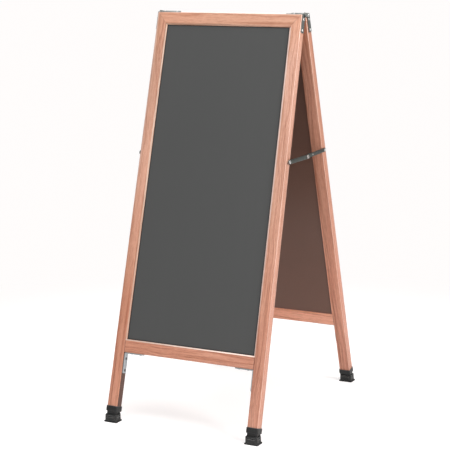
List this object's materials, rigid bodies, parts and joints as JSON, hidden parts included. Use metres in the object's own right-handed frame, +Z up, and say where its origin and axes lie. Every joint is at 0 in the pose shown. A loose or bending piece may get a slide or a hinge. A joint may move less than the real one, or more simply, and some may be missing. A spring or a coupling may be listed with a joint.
{
  "type": "a-frame sidewalk chalkboard",
  "caption": "Double-sided A-frame sidewalk chalkboard: two oak frames hinged at the top, slate-grey boards, folding side braces and rubber feet.",
  "frame": {"origin": "on the floor, midway between the four feet, under the hinge line", "axes": "+Z up, X along the width of the boards, the front frame leans out towards -Y and the rear frame towards +Y"},
  "size_m": [0.4744, 0.6616, 1.1078],
  "materials": {
    "oak": "red oak with a clear satin finish, open grain along each piece",
    "chalkboard": "matt slate-grey chalkboard coating",
    "hardboard": "dark brown tempered hardboard, smooth face with a low sheen",
    "rubber": "black moulded rubber",
    "steel": "dull plated steel strap, lightly worn",
    "zinc": "bright zinc-plated steel",
    "screw": "bright plated screw and rivet heads"
  },
  "bodies": {
    "front_frame": {"brace_front_screw_left": "screw", "brace_front_screw_right": "screw", "brace_spacer_left": "screw", "brace_spacer_right": "screw", "fold_rivet_left": "screw", "fold_rivet_right": "screw", "front_backing_board": "hardboard", "front_bottom_rail": "oak", "front_chalkboard": "chalkboard", "front_corner_iron_left": "zinc", "front_corner_iron_right": "zinc", "front_foot_left": "rubber", "front_foot_right": "rubber", "front_hinge_screw_left_1": "screw", "front_hinge_screw_left_2": "screw", "front_hinge_screw_left_3": "screw", "front_hinge_screw_right_1": "screw", "front_hinge_screw_right_2": "screw", "front_hinge_screw_right_3": "screw", "front_hinge_strap_left": "steel", "front_hinge_strap_right": "steel", "front_iron_screw_left_1": "screw", "front_iron_screw_left_2": "screw", "front_iron_screw_right_1": "screw", "front_iron_screw_right_2": "screw", "front_stile_left": "oak", "front_stile_right": "oak", "front_top_rail": "oak"},
    "rear_frame": {"rear_backing_board": "hardboard", "rear_bottom_rail": "oak", "rear_chalkboard": "chalkboard", "rear_corner_iron_left": "zinc", "rear_corner_iron_right": "zinc", "rear_foot_left": "rubber", "rear_foot_right": "rubber", "rear_hinge_screw_left_1": "screw", "rear_hinge_screw_left_2": "screw", "rear_hinge_screw_left_3": "screw", "rear_hinge_screw_right_1": "screw", "rear_hinge_screw_right_2": "screw", "rear_hinge_screw_right_3": "screw", "rear_hinge_strap_left": "steel", "rear_hinge_strap_right": "steel", "rear_iron_screw_left_1": "screw", "rear_iron_screw_left_2": "screw", "rear_iron_screw_right_1": "screw", "rear_iron_screw_right_2": "screw", "rear_stile_left": "oak", "rear_stile_right": "oak", "rear_top_rail": "oak"},
    "brace_front_link_right": {"brace_front_link_right": "steel", "brace_knee_rivet_right": "screw"},
    "brace_rear_link_right": {"brace_rear_link_right": "steel", "brace_rear_screw_right": "screw", "brace_stop_rivet_right": "screw"},
    "brace_front_link_left": {"brace_front_link_left": "steel", "brace_knee_rivet_left": "screw"},
    "brace_rear_link_left": {"brace_rear_link_left": "steel", "brace_rear_screw_left": "screw", "brace_stop_rivet_left": "screw"}
  },
  "joints": [
    {"name": "fold", "type": "hinge", "parent": "front_frame", "child": "rear_frame", "pos_m": [0, 0.0105, 1.09951], "axis": [-1, 0, 0], "range_deg": [0, 30.4]},
    {"name": "brace_front_right", "type": "hinge", "parent": "front_frame", "child": "brace_front_link_right", "pos_m": [0.2327, -0.121, 0.7073], "axis": [1, 0, 0], "range_deg": [0, 97]},
    {"name": "brace_knee_right", "type": "hinge", "parent": "brace_front_link_right", "child": "brace_rear_link_right", "pos_m": [0.2315, -0.003, 0.7069], "axis": [-1, 0, 0], "range_deg": [0, 167.8]},
    {"name": "brace_front_left", "type": "hinge", "parent": "front_frame", "child": "brace_front_link_left", "pos_m": [-0.2327, -0.121, 0.7073], "axis": [1, 0, 0], "range_deg": [0, 97]},
    {"name": "brace_knee_left", "type": "hinge", "parent": "brace_front_link_left", "child": "brace_rear_link_left", "pos_m": [-0.2315, -0.003, 0.7069], "axis": [-1, 0, 0], "range_deg": [0, 167.8]}
  ],
  "couplings": [
    {"joint": "brace_front_right", "follows": "fold", "ratio": 3.1813},
    {"joint": "brace_knee_right", "follows": "fold", "ratio": 5.5085},
    {"joint": "brace_front_left", "follows": "fold", "ratio": 3.1813},
    {"joint": "brace_knee_left", "follows": "fold", "ratio": 5.5085}
  ]
}
